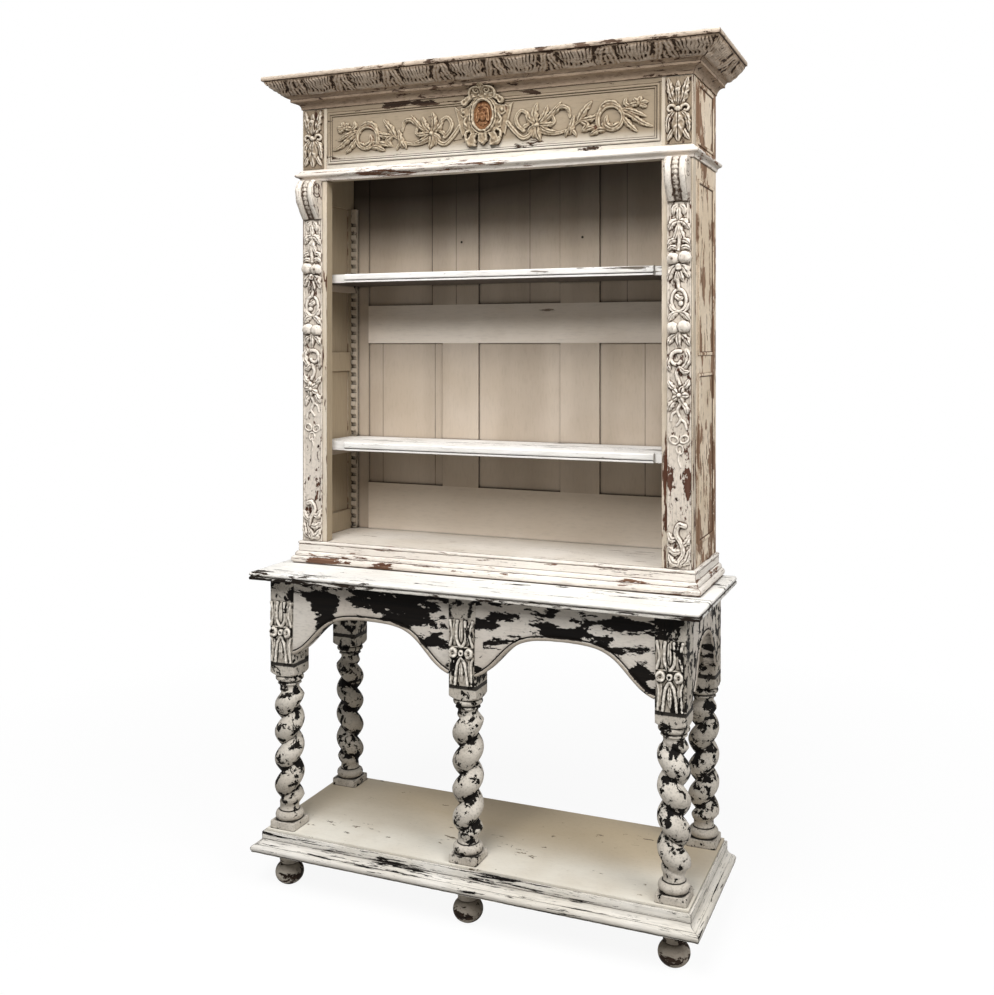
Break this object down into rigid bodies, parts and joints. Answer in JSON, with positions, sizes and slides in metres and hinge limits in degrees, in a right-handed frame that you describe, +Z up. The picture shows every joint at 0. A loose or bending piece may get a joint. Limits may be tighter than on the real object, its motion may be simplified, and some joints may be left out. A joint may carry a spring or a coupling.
{
  "type": "two-part buffet",
  "caption": "Open bookcase with carved pilasters, frieze and cornice, on a console stand with barley-twist columns, arched aprons and bun feet.",
  "frame": {"origin": "the middle of the footprint, on the floor under the feet", "axes": "+Z up, -Y to the front, +X to the viewer's right, 1 unit = 1 m"},
  "size_m": [1.273, 0.447, 2.1993],
  "materials": {
    "worn_paint": "off-white chalk paint, chipped to dark wood in large patches",
    "chalk_paint": "warm white chalk paint, rubbed through on edges and along the grain",
    "inside_paint": "smooth greige paint, matt",
    "shelf_paint": "white paint, matt, rubbed on the front edge",
    "copper_paint": "terracotta paint with a copper tone, matt",
    "bare_wood": "bare wood"
  },
  "bodies": {
    "stand": {"foot_front_left": "worn_paint", "foot_front_middle": "worn_paint", "foot_front_right": "worn_paint", "foot_back_left": "worn_paint", "foot_back_right": "worn_paint", "base_moulding_front": "chalk_paint", "base_moulding_left": "chalk_paint", "base_moulding_right": "chalk_paint", "base_rail_back": "worn_paint", "base_deck": "chalk_paint", "column_front_left": "worn_paint", "column_front_middle": "worn_paint", "column_front_right": "worn_paint", "column_back_left": "worn_paint", "column_back_right": "worn_paint", "post_plaques": "worn_paint", "apron_front_left": "worn_paint", "apron_front_right": "worn_paint", "apron_left": "worn_paint", "apron_right": "worn_paint", "apron_back": "worn_paint", "stand_top": "chalk_paint", "locating_dowels": "bare_wood"},
    "upper_case": {"plinth_mouldings": "chalk_paint", "bottom_rail": "chalk_paint", "case_floor": "chalk_paint", "stile_front_left": "chalk_paint", "stile_front_right": "chalk_paint", "side_frame_left": "chalk_paint", "side_frame_right": "chalk_paint", "side_panels_left": "chalk_paint", "side_panels_right": "chalk_paint", "frieze_rail": "chalk_paint", "frieze_bead": "chalk_paint", "frieze_carving": "chalk_paint", "frieze_plaques": "chalk_paint", "cartouche": "chalk_paint", "waist_mouldings": "chalk_paint", "pilaster_left": "chalk_paint", "pilaster_right": "chalk_paint", "corbel_left": "chalk_paint", "corbel_right": "chalk_paint", "cornice_front": "chalk_paint", "cornice_left": "chalk_paint", "cornice_right": "chalk_paint", "case_top": "chalk_paint", "medallion": "copper_paint", "back_stiles": "inside_paint", "back_rail_top": "inside_paint", "back_rail_middle": "inside_paint", "back_rail_bottom": "inside_paint", "back_muntins": "inside_paint", "back_panels": "inside_paint", "shelf_racks": "inside_paint"},
    "upper_shelf": {"upper_shelf": "shelf_paint"},
    "lower_shelf": {"lower_shelf": "shelf_paint"},
    "batten_upper_left": {"batten_upper_left": "inside_paint"},
    "batten_upper_right": {"batten_upper_right": "inside_paint"},
    "batten_lower_left": {"batten_lower_left": "inside_paint"},
    "batten_lower_right": {"batten_lower_right": "inside_paint"}
  },
  "joints": [
    {"name": "case_lift", "type": "slide", "parent": "stand", "child": "upper_case", "axis": [0, 0, 1], "range_m": [0, 0.05]},
    {"name": "upper_shelf_lift", "type": "slide", "parent": "upper_case", "child": "upper_shelf", "axis": [0, 0, 1], "range_m": [0, 0.06]},
    {"name": "lower_shelf_lift", "type": "slide", "parent": "upper_case", "child": "lower_shelf", "axis": [0, 0, 1], "range_m": [0, 0.06]},
    {"name": "batten_upper_left_slide", "type": "slide", "parent": "upper_case", "child": "batten_upper_left", "axis": [1, 0, 0], "range_m": [0, 0.03]},
    {"name": "batten_upper_right_slide", "type": "slide", "parent": "upper_case", "child": "batten_upper_right", "axis": [-1, 0, 0], "range_m": [0, 0.03]},
    {"name": "batten_lower_left_slide", "type": "slide", "parent": "upper_case", "child": "batten_lower_left", "axis": [1, 0, 0], "range_m": [0, 0.03]},
    {"name": "batten_lower_right_slide", "type": "slide", "parent": "upper_case", "child": "batten_lower_right", "axis": [-1, 0, 0], "range_m": [0, 0.03]}
  ]
}
